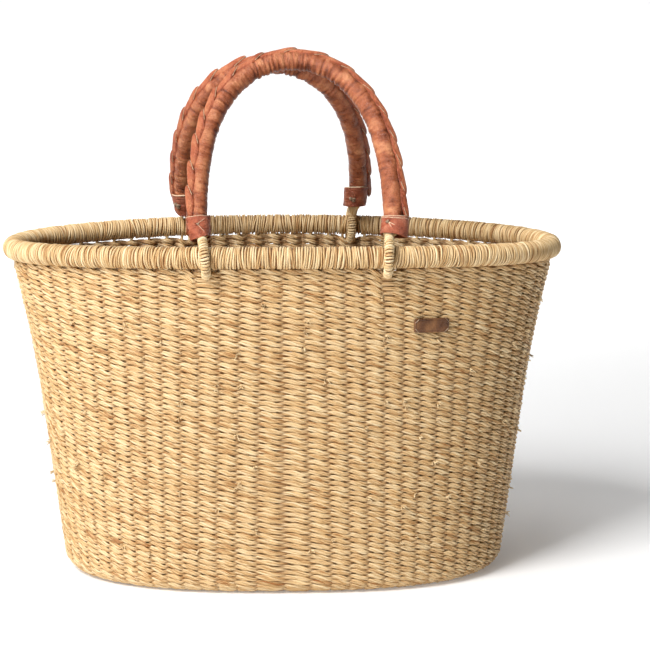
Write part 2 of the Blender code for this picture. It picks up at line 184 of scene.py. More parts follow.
def tube_mesh(name, points, along, attributes, closed):
    """Tubes from points[tube, step, side]; along[tube, step] is the distance for UVs.

    A closed tube has one more entry along than it has steps.
    """
    tubes, steps, sides, _ = points.shape
    index = np.arange(tubes * steps * sides).reshape(tubes, steps, sides)
    low = index if closed else index[:, :-1]
    high = np.roll(index, -1, axis=1) if closed else index[:, 1:]
    quads = np.stack([low, np.roll(low, -1, 2), np.roll(high, -1, 2), high], -1).reshape(-1, 4)
    runs = low.shape[1]
    u0 = np.repeat(along[:, :runs, None], sides, 2)
    u1 = np.repeat(along[:, 1:runs + 1, None], sides, 2)
    v0 = np.broadcast_to(np.arange(sides) / sides, u0.shape)
    v1 = v0 + 1 / sides
    uv = np.stack([np.stack([u0, v0], -1), np.stack([u0, v1], -1),
                   np.stack([u1, v1], -1), np.stack([u1, v0], -1)], -2).reshape(-1, 2)
    loops = quads.reshape(-1)
    starts = np.arange(len(quads)) * 4
    if not closed:
        caps = np.concatenate([index[:, 0, ::-1], index[:, -1]])
        starts = np.concatenate([starts, len(loops) + np.arange(len(caps)) * sides])
        loops = np.concatenate([loops, caps.reshape(-1)])
        uv = np.concatenate([uv, np.zeros((caps.size, 2))])
    return array_mesh(name, points.reshape(-1, 3), loops, starts, uv, attributes)


def array_mesh(name, vertices, loops, starts, uv, attributes=None):
    mesh = bpy.data.meshes.new(name)
    mesh.vertices.add(len(vertices))
    mesh.vertices.foreach_set("co", np.ascontiguousarray(vertices, np.float32).reshape(-1))
    mesh.loops.add(len(loops))
    mesh.loops.foreach_set("vertex_index", loops.astype(np.int32))
    mesh.polygons.add(len(starts))
    mesh.polygons.foreach_set("loop_start", starts.astype(np.int32))
    layer = mesh.uv_layers.new(name="strand")
    mesh.update(calc_edges=True)
    layer.data.foreach_set("uv", np.ascontiguousarray(uv, np.float32).reshape(-1))
    for key, values in (attributes or {}).items():
        data = mesh.attributes.new(key, "FLOAT", "POINT").data
        data.foreach_set("value", np.ascontiguousarray(values, np.float32).reshape(-1))
    mesh.shade_smooth()
    return mesh


def sweep(centres, normals, wide, thick, sides, closed=False):
    """Rings round centres[..., step, 3]; thick is along the normals, wide across them."""
    if closed:
        along = np.roll(centres, -1, -2) - np.roll(centres, 1, -2)
    else:
        along = np.gradient(centres, axis=-2)
    along = unit(along)
    normals = unit(normals - along * np.sum(normals * along, -1, keepdims=True))
    across = np.cross(along, normals)
    a = np.arange(sides) * TAU / sides
    n_part = (np.asarray(thick)[..., None] * np.cos(a))[..., None]
    b_part = (np.asarray(wide)[..., None] * np.sin(a))[..., None]
    return centres[..., None, :] + normals[..., None, :] * n_part + across[..., None, :] * b_part


def helix_wrap(path, radius, pitch, wide, thick, seed, start_normal, steps, sides, unrest):
    """A strand wound round a path; returns its rings and the distance along it."""
    run = run_along(path)
    turns = run[-1] / pitch
    count = int(turns * steps)
    turn = np.linspace(0, turns, count)
    sway = unrest * pitch * (drift(turn * 0.8, seed) + 0.8 * drift(turn * 0.37, seed + 1)
                             * np.sin(TAU * turn + drift(turn * 0.2, seed + 2) * 2))
    at = np.clip(turn * pitch + sway, 0, run[-1])
    centre = at_run(at, run, path)
    tangent = unit(at_run(at, run, unit(np.gradient(path, axis=0))))
    first = unit(start_normal - tangent * np.sum(start_normal * tangent, -1, keepdims=True))
    second = np.cross(tangent, first)
    spin = TAU * turn
    out = first * np.cos(spin)[:, None] + second * np.sin(spin)[:, None]
    reach = radius * (1 + 0.03 * drift(turn * 2.1, seed + 3))
    centre = centre + out * reach[:, None]
    width = wide * (1 + 0.15 * drift(turn * 1.3, seed + 4))
    rings = sweep(centre[None], out[None], width[None], np.full((1, count), thick), sides)
    return rings, (turn * TAU * radius)[None]


# ---- materials

class Nodes:
    """A small builder for one material's node tree."""

    def __init__(self, name):
        self.mat = bpy.data.materials.new(name)
        self.mat.use_nodes = True
        self.tree = self.mat.node_tree
        self.shader = self.tree.nodes["Principled BSDF"]

    def add(self, kind, inputs=None, **settings):
        node = self.tree.nodes.new(kind)
        for key, value in settings.items():
            setattr(node, key, value)
        for key, value in (inputs or {}).items():
            self.put(node.inputs[key], value)
        return node

    def put(self, socket, value):
        if isinstance(value, bpy.types.NodeSocket):
            self.tree.links.new(value, socket)
        else:
            socket.default_value = value

    def math(self, operation, a, b=0.0, clamp=False):
        node = self.add("ShaderNodeMath", {0: a, 1: b}, operation=operation, use_clamp=clamp)
        return node.outputs[0]

    def swing(self, value, size):
        """A noise's wander about its middle value, scaled."""
        return self.math("MULTIPLY", self.math("SUBTRACT", value, 0.5), size)

    def attribute(self, name):
        return self.add("ShaderNodeAttribute", attribute_name=name).outputs["Fac"]

    def strand(self, lengthwise, around):
        """Noise coordinates that run along a strand and close up seamlessly round it."""
        place = self.add("ShaderNodeUVMap", uv_map="strand").outputs["UV"]
        place = self.add("ShaderNodeSeparateXYZ", {0: place}).outputs
        spin = self.math("MULTIPLY", place[1], TAU)
        x = self.math("MULTIPLY", place[0], lengthwise)
        y = self.math("MULTIPLY", self.math("COSINE", spin), around)
        z = self.math("MULTIPLY", self.math("SINE", spin), around)
        return self.add("ShaderNodeCombineXYZ", {0: x, 1: y, 2: z}).outputs[0]

    def noise(self, vector, scale, detail=3.0, roughness=0.55):
        return self.add("ShaderNodeTexNoise", {"Vector": vector, "Scale": scale, "Detail": detail,
                                               "Roughness": roughness}).outputs["Fac"]

    def ramp(self, factor, stops):
        node = self.add("ShaderNodeValToRGB", {"Fac": factor})
        elements = node.color_ramp.elements
        while len(elements) < len(stops):
            elements.new(0.5)
        for element, (position, colour) in zip(elements, stops):
            element.position = position
            element.color = rgba(colour)
        return node.outputs["Color"]

    def mix(self, factor, a, b, blend="MIX"):
        node = self.add("ShaderNodeMix", {0: factor}, data_type="RGBA", blend_type=blend)
        self.put(node.inputs[6], a)
        self.put(node.inputs[7], b)
        return node.outputs[2]

    def map_range(self, value, low, high, to_low=0.0, to_high=1.0):
        return self.add("ShaderNodeMapRange", {0: value, 1: low, 2: high, 3: to_low, 4: to_high}
                        ).outputs[0]

    def bump(self, height, distance, strength=1.0, normal=None):
        inputs = {"Height": height, "Distance": distance, "Strength": strength}
        if normal is not None:
            inputs["Normal"] = normal
        return self.add("ShaderNodeBump", inputs).outputs["Normal"]


def rgba(colour):
    """Linear colour, with alpha, of an 8-bit sRGB one."""
    shares = [c / 255 for c in colour]
    return (*(c / 12.92 if c <= 0.04045 else ((c + 0.055) / 1.055) ** 2.4 for c in shares), 1.0)


DEEP_SHADE = (118, 64, 26)      # painted shade: the darkened colour of grass where the strands dive behind each other


def grass_material(name, dark, middle, light, fibre=90.0, around=1.6):
    """Dry grass: long fibres along the strand, tints that change from stem to stem."""
    n = Nodes(name)
    fibres = n.noise(n.strand(fibre, around), 1.0, 4.0, 0.62)
    patches = n.noise(n.strand(28.0, 0.4), 1.0, 2.0)
    value = n.math("ADD", n.swing(fibres, 2.0), n.swing(patches, 0.8))
    value = n.math("ADD", value, n.math("MULTIPLY", n.attribute("tint"), 0.30))
    value = n.math("ADD", value, 0.5, clamp=True)
    colour = n.ramp(value, ((0.10, dark), (0.42, middle), (0.85, light)))
    # painted shade: the depth attribute darkens the grass towards DEEP_SHADE where strands dive
    # behind each other
    painted_shade = n.math("MULTIPLY", n.attribute("depth"), 0.85)
    colour = n.mix(painted_shade, colour, rgba(DEEP_SHADE))
    n.put(n.shader.inputs["Base Color"], colour)
    n.put(n.shader.inputs["Roughness"], n.map_range(fibres, 0.3, 0.7, 0.40, 0.58))
    n.put(n.shader.inputs["Normal"], n.bump(fibres, 0.0007, 0.8))
    n.shader.inputs["Specular IOR Level"].default_value = 0.32
    return n.mat


def leather_material(name, dark, middle, light, edge_colour, grain=900.0, gloss=0.31):
    """Thin tanned leather: pores, faint mottling, worn crests, painted shade in hollows, pale cut
    edges.
    """
    n = Nodes(name)
    place = n.add("ShaderNodeTexCoord").outputs["Object"]
    mottle = n.noise(place, 90.0, 4.0, 0.6)
    fine = n.noise(place, grain, 3.0, 0.6)
    # lighter on worn crests, and darker as painted shade in grooves, hollows and hidden undersides
    wear_and_shade = n.attribute("wear_and_shade")
    value = n.math("SUBTRACT", n.math("MULTIPLY", mottle, 1.2), 0.2)
    value = n.math("ADD", value, n.swing(fine, 0.30))
    value = n.math("ADD", value, n.math("MULTIPLY", wear_and_shade, 0.17), clamp=True)
    colour = n.ramp(value, ((0.10, dark), (0.42, middle), (0.74, light)))
    edge = n.attribute("edge")
    colour = n.mix(n.map_range(edge, 0.35, 0.65), colour, rgba(edge_colour))
    cells = n.add("ShaderNodeTexVoronoi", {"Vector": place, "Scale": grain * 1.1},
                  feature="DISTANCE_TO_EDGE").outputs["Distance"]
    creases = n.noise(n.strand(420.0, 0.9), 1.0, 5.0, 0.62)
    height = n.math("ADD", n.math("MULTIPLY", n.map_range(cells, 0.0, 0.25), 0.05),
                    n.math("MULTIPLY", fine, 0.08))
    height = n.math("ADD", height, creases)
    n.put(n.shader.inputs["Base Color"], colour)
    n.put(n.shader.inputs["Roughness"], n.map_range(mottle, 0.3, 0.7, gloss - 0.07, gloss + 0.1))
    n.put(n.shader.inputs["Normal"], n.bump(height, 0.0022, 1.0))
    n.shader.inputs["Specular IOR Level"].default_value = 0.5
    return n.mat


MATS = {
    "weave": grass_material("twined grass", (152, 97, 46), (218, 180, 125), (244, 221, 178)),
    "whip": grass_material("whipping grass", (148, 96, 46), (214, 178, 125), (244, 222, 180),
                           fibre=70.0, around=1.2),
    "stake": grass_material("stake grass", (150, 108, 62), (206, 170, 118), (230, 204, 156)),
    "leather": leather_material("handle leather", (104, 46, 22), (170, 94, 58), (212, 142, 98),
                                (236, 205, 170)),
    "lacing": leather_material("lacing leather", (128, 54, 28), (180, 94, 58), (208, 132, 90),
                               (232, 198, 160), gloss=0.42),
    "cuff": leather_material("cuff leather", (122, 54, 32), (176, 92, 62), (206, 132, 100),
                             (238, 208, 174), gloss=0.42),
    "thong": leather_material("thong leather", (110, 82, 62), (190, 162, 134), (228, 204, 178),
                              (170, 150, 120), grain=1400.0, gloss=0.5),
    "label": leather_material("label leather", (58, 32, 14), (104, 64, 34), (150, 104, 62),
                              (150, 110, 76)),
}


# ---- the basket's form

def oval(half_length, half_depth, power, angle):
    c, s = np.cos(angle), np.sin(angle)
    x = half_length * np.sign(c) * np.abs(c) ** (2 / power)
    y = half_depth * np.sign(s) * np.abs(s) ** (2 / power)
    return x, y


def rim_points(angle):
    x, y = oval(RIM_HALF_LENGTH, RIM_HALF_DEPTH, RIM_POWER, angle)
    return np.stack([x, y, RIM_HEIGHT - RIM_END_DROP * (x / RIM_HALF_LENGTH) ** 2], -1)


RIM_FINE = np.linspace(0, TAU, 8001)
RIM_LINE = rim_points(RIM_FINE)
RIM_RUN = run_along(RIM_LINE)
RIM_LENGTH = RIM_RUN[-1]
LOOP_LEAN = 0.0058            # how far the loops lean inwards at the rim


def loop_runs():
    """Distance along the rim of the foot of each of the four loops, which lean inwards."""
    runs = []
    for name in ("front_loop_left", "front_loop_right", "rear_loop_left", "rear_loop_right"):
        low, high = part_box(name)
        middle = (low + high) / 2
        side = RIM_FINE > PI if middle.y < 0 else RIM_FINE <= PI
        foot = middle.x - math.copysign(LOOP_LEAN, middle.x)
        miss = np.where(side, np.abs(RIM_LINE[:, 0] - foot), 9.0)
        runs.append(RIM_RUN[miss.argmin()])
    return np.array(runs)


LOOP_RUNS = loop_runs()


def from_loop(run, loop):
    """Signed distance along the rim from a loop, the shorter way round."""
    return (run - loop + RIM_LENGTH / 2) % RIM_LENGTH - RIM_LENGTH / 2


def stake_run(stake, height):
    """Distance along the rim of a stake; near the top the loops push it aside."""
    run = (stake + 0.5) * RIM_LENGTH / STAKES
    for loop in LOOP_RUNS:
        away = from_loop(run, loop)
        push = 0.0035 * np.sign(away) * np.exp(-(away / 0.009) ** 2)
        run = run + push * smooth_step(height, 0.215, 0.25)
    return run


def stake_angle(stake, height=0.0):
    return np.interp(stake_run(stake, height) % RIM_LENGTH, RIM_RUN, RIM_FINE)


def skin(m, angle):
    """The weave's outer face, at distance m up from the edge of the base plate."""
    m, angle = np.broadcast_arrays(np.asarray(m, float), angle)
    turn = np.clip((m - FLANGE) / EDGE_RADIUS, 0, PI / 2)
    inset = np.where(m < FLANGE, EDGE_RADIUS + FLANGE - np.clip(m, 0, FLANGE),
                     EDGE_RADIUS * (1 - np.sin(turn)))
    z = EDGE_RADIUS * (1 - np.cos(turn)) + np.maximum(m - EDGE_START, 0)
    t = np.minimum(z / WALL_HEIGHT, LIP_START)
    flare = (WALL_TOP_LENGTH - BASE_LENGTH - WALL_STRAIGHT) * (
        np.maximum(0, t - FLARE_START) / (1 - FLARE_START)) ** 2
    half_length = BASE_LENGTH + WALL_STRAIGHT * t + flare - inset
    half_depth = WALL_DEPTH - (WALL_DEPTH - WALL_TOP_DEPTH) * t * t - inset
    x, y = oval(half_length, half_depth, BASE_POWER + (RIM_POWER - BASE_POWER) * t, angle)
    inner = np.clip(-m / BASE_HALF_DEPTH, 0, 1)
    x = x * (1 - inner) + inner * BASE_SPINE * np.cos(angle)
    y = y * (1 - inner)
    z = z * (1 - RIM_END_DROP / WALL_HEIGHT * (x / RIM_HALF_LENGTH) ** 2)
    return np.stack([x, y, z], -1)


def skin_normal(m, angle):
    step = 2e-4
    up = skin(m + step, angle) - skin(m - step, angle)
    round_ = skin(m, angle + 1e-3) - skin(m, angle - 1e-3)
    return unit(np.cross(round_, up))


def near_loops(run):
    """1 at a loop, falling to 0 about two centimetres away."""
    return sum(np.exp(-(from_loop(run, loop) / 0.009) ** 2) for loop in LOOP_RUNS)


# ---- twining

def twined_rows(rows, first_row):
    """Rings of every ply: two strands to a row, one half twist of them per stake."""
    s = (np.arange(STAKES)[:, None] + STITCH_STEPS[None]).reshape(-1)
    run = s * RIM_LENGTH / STAKES
    rings, tints, painted_shades = [], [], []
    for number, m in enumerate(rows, start=first_row):
        height = max(0.0, m - EDGE_START + EDGE_RADIUS)
        angle = stake_angle(s, height)
        sway = 0.00020 * drift(s * 0.55, 100 + number)
        sway = sway + 0.0007 * drift(angle * 3.0 + m * 14, 7) * smooth_step(m, 0, 0.08)
        dip = 0.11 * np.maximum(0, height - ROOM_AT_LOOPS) * near_loops(stake_run(s, height))
        snug = 1 - 0.25 * smooth_step(-m, 0.02, 0.09)
        for strand in (0, 1):
            seed = 10 * number + strand
            phase = PI * (s + strand)
            c = np.cos(phase)
            lively = 1 + 0.14 * drift(s * 1.4, seed + 1000)
            rise = -STRAND_SLANT * np.sin(phase) * lively
            reach = (c + CROSSING_BIAS) / (1 + CROSSING_BIAS * np.sign(c + CROSSING_BIAS))
            flat = np.tanh(STRAND_FLATNESS * reach) / math.tanh(STRAND_FLATNESS)
            out = STRAND_SWING * snug * flat
            out = out + 0.00018 * drift(s * 1.9, seed + 2000)
            fat = 1 + 0.08 * drift(s * 1.1, seed + 3000)
            tall = (0.00182 + 0.00034 * np.cos(2 * phase)) * fat
            thick = (0.00156 - 0.00012 * np.cos(2 * phase)) * fat
            twist = TAU * run / PLY_TWIST + 0.5 * drift(s * 0.5, seed + 4000)
            twist = twist + 1.9 * number + 2.2 * strand
            tint = 0.30 * drift(s * 0.16, seed + 5000) + 0.12 * drift(s * 1.7, seed + 6000)
            for ply in range(PLIES):
                up = np.cos(twist + TAU * ply / PLIES)
                fore = np.sin(twist + TAU * ply / PLIES)
                at = m + rise + sway - dip + 0.56 * tall * up
                normal = skin_normal(at, angle)
                lift = out - WEAVE_THICKNESS / 2 + 0.42 * thick * fore
                centre = skin(at, angle) + normal * lift[:, None]
                rings.append(sweep(centre, normal, tall * 0.52, thick * 0.62, PLY_SIDES,
                                   closed=True))
                tints.append(tint + 0.30 * math.sin(seed * 3.7 + ply * 2.1))
                # painted shade: strongest where a strand dives through the wall's middle
                painted_shades.append(np.exp(-(out / SHADE_REACH) ** 2))
    rings = np.array(rings)
    along = np.append(run, RIM_LENGTH)[None] + (np.arange(len(rings)) * 0.0371)[:, None]
    tints, painted_shades = np.array(tints), np.array(painted_shades)
    return rings, along, {"tint": tints[..., None], "depth": painted_shades[..., None]}


def make_weave():
    rows_up = (np.arange(WALL_ROWS) + 0.5) * ROW_PITCH
    rows_in = -(np.arange(int(BASE_HALF_DEPTH / ROW_PITCH)) + 0.5) * ROW_PITCH
    for part, rows, seed in (("wall", rows_up, 0), ("base", rows_in, BASE_ROW_SEED)):
        for i in range(0, len(rows), ROWS_PER_PIECE):
            rings, along, attributes = twined_rows(rows[i:i + ROWS_PER_PIECE], seed + i)
            name = f"{part}_weave_{i // ROWS_PER_PIECE + 1}"
            add_tubes(name, rings, along, attributes, "weave", "basket",
                      () if i else (f"woven_{part}",), closed=True)


def make_stakes():
    """Upright grass stakes inside the twining, across the base and up into the rim."""
    m = np.concatenate([np.linspace(-BASE_HALF_DEPTH, 0, 14), np.linspace(0.003, EDGE_START, 8),
                        np.linspace(EDGE_START + 0.01, WALL_RUN, 22)])
    height = np.maximum(0, m - EDGE_START + EDGE_RADIUS)
    tubes, normals, tints = [], [], []
    for stake in range(STAKES):
        angle = stake_angle(float(stake), height)
        normal = skin_normal(m, angle)
        line = skin(m, angle) - normal * WEAVE_THICKNESS / 2
        top = rim_points(angle[-1:])[0]
        inward = -normal[-1] * [1, 1, 0] * STAKE_INSET
        ends = np.array([top + inward - [0, 0, 0.0095], top + inward - [0, 0, 0.004]])
        tubes.append(np.vstack([line, ends]))
        normals.append(np.vstack([normal, normal[-1:], normal[-1:]]))
        tints.append(np.full(len(line) + 2, math.sin(stake * 2.3)))
    tubes, normals = np.array(tubes), np.array(normals)
    size = np.full(tubes.shape[:2], STAKE_RADIUS)
    rings = sweep(tubes, normals, size, size, 6)
    run = np.linalg.norm(np.diff(tubes, axis=1), axis=2)
    along = np.concatenate([np.zeros((STAKES, 1)), np.cumsum(run, 1)], 1)
    tint = np.array(tints)[..., None]
    add_tubes("stakes", rings, along, {"tint": tint, "depth": 0}, "stake", "basket")


def make_tufts():
    """Short cut ends of grass that stick out where a new strand was laid in."""
    rng = np.random.default_rng(41)
    centres, normals, sizes = [], [], []
    for _ in range(TUFTS):
        stake = rng.integers(0, STAKES) + rng.choice([-0.5, 0.5]) * rng.uniform(0.7, 1.0)
        m = (rng.integers(4, 58) + 0.5) * ROW_PITCH + EDGE_START
        if m > WALL_RUN - 0.012:
            continue
        angle = stake_angle(stake, m)
        normal = skin_normal(m, angle)
        root = skin(m, angle)
        side = unit(np.cross([0, 0, 1.0], normal))
        for _ in range(rng.integers(3, 7)):
            lean = side * rng.uniform(-0.8, 0.8) + np.array([0, 0, rng.uniform(-0.9, 0.5)])
            start = root + side * rng.uniform(-0.0012, 0.0012)
            start = start + [0, 0, rng.uniform(-0.001, 0.001)] - normal * 0.0022
            tip = start + (normal + 0.7 * lean) * rng.uniform(0.0034, 0.0052)
            centres.append(np.linspace(start, tip, 3))
            normals.append(np.repeat(side[None], 3, 0))
            sizes.append(rng.uniform(0.00032, 0.00058) * np.array([1.0, 0.95, 0.7]))
    centres, normals, sizes = np.array(centres), np.array(normals), np.array(sizes)
    rings = sweep(centres, normals, sizes, sizes * 0.8, 5)
    along = np.repeat(np.array([[0, 0.002, 0.004]]), len(centres), 0)
    tint = rng.uniform(0.2, 1.0, (len(centres), 1, 1))
    add_tubes("grass_ends", rings, along, {"tint": tint, "depth": 0}, "whip", "basket")


# ---- the rim

def rim_frame(run):
    """Centre, outward and upward directions of the rim at distances along it."""
    angle = np.interp(run % RIM_LENGTH, RIM_RUN, RIM_FINE)
    centre = rim_points(angle)
    along = unit(rim_points(angle + 1e-3) - rim_points(angle - 1e-3))
    outward = unit(np.cross(along, [0, 0, 1.0]))
    return centre, outward, np.cross(outward, along)


def make_rim():
    """The whipping, one long strand round the bundle, and the bundle under it."""
    pitch, steps, sides = 0.0018, 20, 6
    wide, thick = 0.00085, 0.00095
    turns = round(RIM_LENGTH / pitch)
    turn = np.linspace(0, turns, turns * steps + 1)
    slant = 0.0014 * drift(turn * 0.13, 21) + 0.0011 * drift(turn * 0.9, 22)
    run = turn * RIM_LENGTH / turns + slant * np.sin(TAU * turn + 0.8 * drift(turn * 0.13, 23))
    run = run + 0.00030 * drift(turn * 1.7, 24)
    centre, outward, upward = rim_frame(run)
    lumps = 0.00018 * drift(turn * 0.9, 25) + 0.00014 * drift(turn * 3.1, 26)
    spin = TAU * turn
    out = outward * np.cos(spin)[:, None] + upward * np.sin(spin)[:, None]
    centre = centre + out * (RIM_RADIUS - 0.00085 + lumps)[:, None]
    wide = wide * (1 + 0.20 * drift(turn * 1.6, 27))
    rings = sweep(centre[None], out[None], wide[None], np.full((1, len(turn)), thick), sides)
    along = (turn * TAU * RIM_RADIUS)[None]
    tint = 0.25 * drift(turn * 0.25, 28) + 0.55 * drift(turn * 2.3, 29)
    add_tubes("rim_whipping_strand", rings, along, {"tint": tint[None, :, None], "depth": 0},
              "whip", "basket", ("rim_whipping",))
    run = np.linspace(0, RIM_LENGTH, 360, endpoint=False)
    centre, outward, _ = rim_frame(run)
    size = np.full((1, len(run)), RIM_RADIUS - 0.0014)
    rings = sweep(centre[None], outward[None], size, size, 16, closed=True)
    along = np.append(run, RIM_LENGTH)[None]
    # painted shade: the bundle under the whipping's turns is darkened with a low tint and half of
    # DEEP_SHADE
    add_tubes("rim_bundle", rings, along, {"tint": -0.6, "depth": 0.5}, "stake",
              "basket", ("rim_core",), closed=True)


# ---- handles

# Heights here are above the hinge.
COVER_RADIUS = 0.0079
ARCH_SHOULDER = 0.6           # power that squares the arch's shoulders
CUFF_RADIUS = 0.00945
CUFF_FOOT_DEPTH = 0.0112
LEG_START = 0.0185            # where the arch's centre line begins
LACING_START = 0.012          # where the lacing begins along that line
LOOP_RADIUS = 0.0037
LOOP_BEND = 0.0130
LOOP_TOP = 0.0198
# How far the lacing turns round each handle, in degrees, from the left foot to the right one.
LACE_TURNS = {"front": (47, 8), "rear": (-4, -8)}
# How each cuff is cut and pulled, and how its loop leans. Slants are rise over run, front to
# back; tilts are the same from side to side; shifts are to the right; pairs go from the foot to
# the top, and from the top to the foot for a loop. A knot is given by its bearing, its share of
# the cuff's height and its size.
CUFFS = {
    ("front", -1): {"ends": (0.0162, 0.0350), "slants": (0.40, 0.42), "tilts": (0.20, 0.13),
                    "widths": (0.0076, 0.0095), "shifts": (0.0033, 0.0010),
                    "loop_shifts": (0.0037, 0.0074), "second_line": 0.0,
                    "knot": (-97, 0.60, 0.50), "creases": (40, -50), "crease_length": 0.0125},
    ("front", 1): {"ends": (0.0180, 0.0345), "slants": (0.40, 0.42), "tilts": (-0.20, -0.06),
                   "widths": (0.0104, 0.0106), "shifts": (-0.0011, 0.0012),
                   "loop_shifts": (-0.0044, -0.0062), "second_line": 0.0018,
                   "knot": (-126, 0.64, 0.60), "creases": (-38, -60), "crease_length": 0.0100},
    ("rear", -1): {"ends": (0.0160, 0.0362), "slants": (-0.40, -0.62), "tilts": (0.02, 0.02),
                   "widths": (0.0086, 0.0097), "shifts": (0.0026, 0.0003),
                   "loop_shifts": (0.0050, 0.0088), "second_line": 0.0,
                   "knot": (-122, 0.50, 1.30), "creases": (150,), "crease_length": 0.0050},
    ("rear", 1): {"ends": (0.0222, 0.0425), "slants": (-0.85, -0.85), "tilts": (0.0, 0.0),
                  "widths": (0.0098, 0.0102), "shifts": (-0.0028, -0.0020),
                  "loop_shifts": (-0.0040, -0.0060), "second_line": 0.0,
                  "knot": (-108, 0.36, 1.25), "creases": (20,), "crease_length": 0.0040},
}


class Handle:
    """Where one handle's pieces go: its frame's X axis is the hinge, Z points up the arch."""

    def __init__(self, name, side, seed):
        joint = next(j for j in frame["joints"] if j["name"] == f"{name}_handle_swing")
        axis = Vector(joint["axis"]) * -side
        middle = Vector(joint["pos_m"])
        low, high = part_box(f"{name}_handle_cover")
        up = high.z - COVER_RADIUS - middle.z
        reach_in = abs((high.y if side < 0 else low.y) - middle.y) - COVER_RADIUS
        left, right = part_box(f"{name}_loop_left"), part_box(f"{name}_loop_right")
        across = (right[0] + right[1] - left[0] - left[1]) / 2
        self.name, self.side, self.body = name, side, f"{name}_handle"
        self.lace_turn, self.seed = np.radians(LACE_TURNS[name]), seed
        self.half_span = across.xy.length / 2
        self.reach = math.hypot(up, reach_in)
        lean = math.atan2(reach_in, up)
        heading = math.atan2(axis.y, axis.x)
        self.place = (Matrix.Translation(middle) @ Matrix.Rotation(heading, 4, "Z")
                      @ Matrix.Rotation(side * lean, 4, "X"))
        self.line = self.arch(LEG_START)
        self.run = run_along(self.line)

    def arch(self, start, count=1601):
        begin = math.asin((start / self.reach) ** (1 / ARCH_SHOULDER))
        a = np.linspace(begin, PI - begin, 4001)
        points = np.stack([-self.half_span * np.cos(a), 0 * a,
                           self.reach * np.sin(a) ** ARCH_SHOULDER], -1)
        return resample(points, count)

    def at(self, run):
        """Centre, outward direction in the arch's plane, and direction along it."""
        centre = at_run(run, self.run, self.line)
        along = unit(at_run(run, self.run, unit(np.gradient(self.line, axis=0))))
        outward = np.stack([-along[..., 2], 0 * along[..., 0], along[..., 0]], -1)
        return centre, outward, along

    def seam_turn(self, run):
        """How far the lacing has turned round the handle, from straight outwards."""
        first, last = self.lace_turn
        return first + (last - first) * run / self.run[-1]

    def foot(self, side):
        """The frame of one foot of the arch, on the hinge."""
        return self.place @ Matrix.Translation((side * self.half_span, 0, 0))


def cuff_opening(shape):
    """The height at which a cuff's foot is closed all round."""
    return shape["ends"][0] + abs(shape["slants"][0]) * CUFF_RADIUS + 0.001


def make_cover(handle):
    """The leather skin: it bulges between cross wrinkles, most of all inside the bend."""
    steps, sides = 900, 56
    first, last = [cuff_opening(CUFFS[handle.name, side]) - LEG_START for side in (-1, 1)]
    run = np.linspace(first, handle.run[-1] - last, steps)
    centre, outward, along = handle.at(run)
    heading = np.unwrap(np.arctan2(along[:, 2], along[:, 0]))
    bend = np.clip(np.abs(np.gradient(heading, run)) * 0.06, 0, 1)[:, None]
    angle = np.arange(sides)[None] * TAU / sides
    inside = 0.5 - 0.5 * np.cos(angle)
    rng = np.random.default_rng(handle.seed)
    radius = COVER_RADIUS + np.zeros((steps, sides))
    at = 0.003
    while at < handle.run[-1]:
        tilt = rng.uniform(-0.0014, 0.0014) * np.sin(angle + rng.uniform(0, TAU))
        width = rng.uniform(0.0009, 0.0016)
        groove = np.exp(-((run[:, None] - at - tilt) / width) ** 2)
        facing = np.clip(0.45 + 0.75 * np.cos(angle - rng.uniform(0, TAU)), 0, 1)
        reach = np.maximum(facing, inside * bend * 1.2)
        depth = rng.uniform(0.00025, 0.00100) * (0.45 + 0.9 * np.maximum(inside, 0.4) * bend)
        radius -= depth * groove * reach
        at += rng.uniform(0.0028, 0.0060)
    for lump in range(3):
        swirl = np.sin((lump + 1) * angle + 2.0 * drift(run[:, None] * 60, handle.seed + 40 + lump))
        radius += 0.00016 * drift(run[:, None] * 210 + lump, handle.seed + 50 + lump) * swirl
    seam = np.minimum(angle, TAU - angle)
    radius -= 0.0005 * np.exp(-(seam / 0.48) ** 4)
    turn = handle.seam_turn(run)[:, None]
    first = outward * np.cos(turn) + np.array([0, -1.0, 0]) * np.sin(turn)
    second = np.cross(along, first)
    ring = first[:, None] * np.cos(angle)[..., None] + second[:, None] * np.sin(angle)[..., None]
    points = centre[:, None] + ring * radius[..., None]
    # wear and painted shade: the bulges are lighter, and the wrinkles' grooves are darker as
    # painted shade
    wear_and_shade = np.clip((radius - COVER_RADIUS + 0.0001) / 0.0004, -1.3, 1)
    add_tubes(f"{handle.name}_cover_leather", points[None], run[None],
              {"wear_and_shade": wear_and_shade, "edge": 0}, "leather", handle.body,
              (f"{handle.name}_handle_cover", f"{handle.name}_handle_core"), handle.place)


